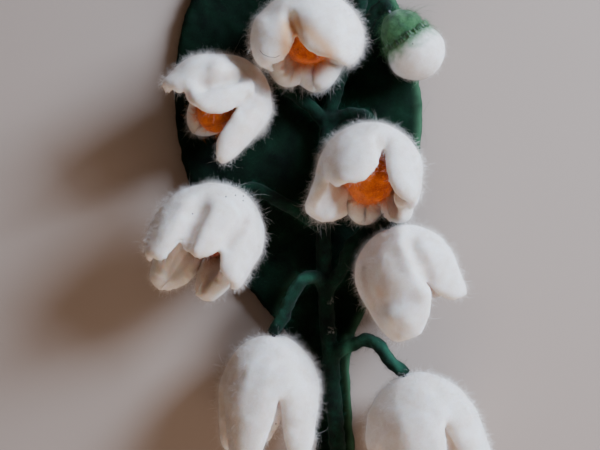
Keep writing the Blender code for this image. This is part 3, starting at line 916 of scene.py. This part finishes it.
def dress_stem():
    """The wool on the stem and stalks, with painted highlights where it catches the light, and the wire in
    it.
    """
    # Painted highlights where the light catches the stalks.
    stain_and_painted_light = painted_highlight_on_stalks
    stem = felt_skin("stem_wool", "stem", looks["stem"], STEM_SEED, stain_and_painted_light)
    fibres(stem, "stem", looks["stem_fibre"], STEM_SEED, None, stain_and_painted_light)
    wire = frame["nodes"]["stem_wire"].data
    wire.materials.clear()
    wire.materials.append(wire_material())


def on_skin(name, place, lift):
    """The point of a skin that the camera sees at a place in the photo, lifted off the skin.

    Where the skin isn't seen there, it is the skin's nearest point.
    """
    across = PHOTO_MIDDLE[0] + (place[0] - PHOTO_PIXELS[0] / 2) * PIXEL
    up = PHOTO_MIDDLE[1] - (place[1] - PHOTO_PIXELS[1] / 2) * PIXEL
    eye = Vector((*PHOTO_MIDDLE, CAMERA_HEIGHT)) * MM
    aim = Vector((across, up, PHOTO_PLANE)) * MM
    found, point, normal, _ = skins[name].ray_cast(eye, (aim - eye).normalized())
    if not found:
        _, point, normal, _ = skins[name].closest_point_on_mesh(aim)
    return np.array(point + normal * (lift * MM))


def lint():
    """A stray dark fibre and a few specks of lint on the white wool."""
    name, line = LINT_LINE
    path = np.array([on_skin(name, place, LINT_HEIGHT) for place in line])
    ahead = unit(np.gradient(path, axis=0))
    side = unit(np.cross(ahead, (0.0, 0.0, 1.0))) * (0.5 * LINT_WIDTH * MM)
    points = [np.stack([path - side, path + side], axis=1).reshape(-1, 3)]
    corners = strip(len(path) - 1)
    total = 2 * len(path)
    for name, places in LINT_SPECKS.items():
        for place in places:
            middle = on_skin(name, place, LINT_HEIGHT)
            steps = np.concatenate([np.eye(3), -np.eye(3)]) * (LINT_SIZE * MM)
            points.append(middle + steps)
            corners += [(total + a, total + b, total + c) for a, b, c in OCTAHEDRON]
            total += len(steps)
    mesh = mesh_of("lint", np.concatenate(points), np.array(corners))
    add_piece("lint", mesh, looks["lint"])


def tufts():
    """Small tufts of white wool that cling to the stalk."""
    rng = np.random.default_rng(TUFT_SEED)
    roots = []
    for name, places in TUFTS.items():
        for place in places:
            spread = rng.normal(size=(TUFT_FIBRES, 3)) * (TUFT_SPREAD * MM)
            roots.append(on_skin(name, place, 0.0) + spread)
    roots = np.concatenate(roots)
    outward = np.tile((0.0, 0.0, 1.0), (len(roots), 1))
    points, corners, _, sheet = grow(roots, outward, TUFT_SPEC, None, rng)
    mesh = mesh_of("white_tufts", on_table(points), corners)
    lay_out(mesh, corners, [(len(roots), sheet)])
    add_piece("white_tufts", mesh, looks["white_fibre"])


def floor():
    """A plain pale floor."""
    mesh = bpy.data.meshes.new("floor")
    half = FLOOR_SIDE * MM / 2
    z = -FLOOR_DROP * MM
    points = [(-half, -half, z), (half, -half, z), (half, half, z), (-half, half, z)]
    mesh.from_pydata(points, [], [(0, 1, 2, 3)])
    obj = bpy.data.objects.new("floor", mesh)
    bpy.context.scene.collection.objects.link(obj)
    material = bpy.data.materials.new("floor")
    material.use_nodes = True
    shader = material.node_tree.nodes["Principled BSDF"]
    shader.inputs["Base Color"].default_value = (*FLOOR_COLOUR, 1.0)
    shader.inputs["Roughness"].default_value = FLOOR_ROUGHNESS
    mesh.materials.append(material)


def lights():
    """Soft studio light: the lamps, and a dim warm room."""
    target = Vector((*PHOTO_MIDDLE, PHOTO_PLANE)) * MM
    for name, (place, side, power, colour) in LIGHTS.items():
        data = bpy.data.lights.new(name, "AREA")
        data.size = side * MM
        data.energy = power
        data.color = colour
        lamp = bpy.data.objects.new(name, data)
        lamp.location = Vector(place) * MM
        lamp.rotation_mode = "QUATERNION"
        lamp.rotation_quaternion = (target - lamp.location).to_track_quat("-Z", "Y")
        bpy.context.scene.collection.objects.link(lamp)
    world = bpy.data.worlds.new("soft_room")
    world.use_nodes = True
    background = world.node_tree.nodes["Background"]
    background.inputs["Color"].default_value = (*WORLD_COLOUR, 1.0)
    background.inputs["Strength"].default_value = WORLD_STRENGTH
    bpy.context.scene.world = world


def camera():
    """The camera, straight over the middle of the photo's frame."""
    data = bpy.data.cameras.new("camera")
    data.sensor_width = SENSOR_WIDTH
    data.lens = SENSOR_WIDTH * (CAMERA_HEIGHT - PHOTO_PLANE) / PHOTO_WIDTH
    data.clip_start = CAMERA_NEAREST * MM
    obj = bpy.data.objects.new("camera", data)
    obj.location = Vector((*PHOTO_MIDDLE, CAMERA_HEIGHT)) * MM
    bpy.context.scene.collection.objects.link(obj)
    bpy.context.scene.camera = obj


for obj in list(bpy.data.objects):
    bpy.data.objects.remove(obj)
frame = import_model()
groups = {"mottle": mottle_group(), "nap": nap_group(), "stain_and_painted_light": stain_and_painted_light_group()}
# The amber stain also carries painted shade; the rim colour is a painted highlight.
amber_stain_and_painted_shade = (AMBER_STAIN_AND_PAINTED_SHADE, MOST_AMBER_AND_PAINTED_SHADE)
green_stain = (STAIN_GREEN, MOST_GREEN)
rim_painted_highlight = (RIM_PAINTED_HIGHLIGHT, MOST_RIM_HIGHLIGHT)
looks = {
    "white": wool("white_felt", WHITE, inner_light=0.8, stain_and_painted_light=amber_stain_and_painted_shade),
    "white_fibre": wool("white_fibre", WHITE, depth=0.0, stain_and_painted_light=amber_stain_and_painted_shade),
    "bud": wool("bud_felt", WHITE, inner_light=0.5, stain_and_painted_light=green_stain),
    "bud_fibre": wool("bud_fibre", WHITE, depth=0.0, stain_and_painted_light=green_stain),
    "amber": wool("amber_felt", AMBER, patches=500.0, depth=0.15),
    "amber_fibre": wool("amber_fibre", AMBER_FIBRE, patches=900.0, depth=0.0),
    "deep": wool("deep_amber_felt", DEEP_AMBER, patches=500.0, depth=0.15),
    "deep_fibre": wool("deep_amber_fibre", DEEP_AMBER, patches=900.0, depth=0.0),
    "leaf": wool(
        "leaf_felt", LEAF_GREEN, patches=160.0, depth=0.15, sheen=0.0, stain_and_painted_light=rim_painted_highlight
    ),
    "leaf_fibre": wool(
        "leaf_fibre", LEAF_FIBRE, patches=160.0, depth=0.0, sheen=0.0, stain_and_painted_light=rim_painted_highlight
    ),
    "stem": wool(
        "stem_felt", STEM_GREEN, patches=400.0, depth=0.15, sheen=0.05,
        stain_and_painted_light=(STALK_PAINTED_HIGHLIGHT, MOST_STALK_HIGHLIGHT_FELT),
    ),
    "stem_fibre": wool(
        "stem_fibre", STEM_FIBRE, patches=400.0, depth=0.0, sheen=0.0,
        stain_and_painted_light=(STALK_PAINTED_HIGHLIGHT, MOST_STALK_HIGHLIGHT_FIBRE),
    ),
    "cap": wool("cap_felt", CAP_GREEN, patches=500.0, inner_light=0.2),
    "cap_fibre": wool("cap_fibre", CAP_FIBRE, patches=500.0, depth=0.0, sheen=0.0),
    "lint": wool("lint", LINT_BROWN, depth=0.0, sheen=0.0),
}
# The felt skin of each CAD node, by the node's name.
skins = {}
for number in BELL_LIES:
    dress_bell(number)
for name in BUD_LIES:
    dress_bud(name)
dress_leaf()
dress_stem()
# The skins have to be up to date before rays are cast at them.
bpy.context.view_layer.update()
lint()
tufts()
floor()
lights()
camera()
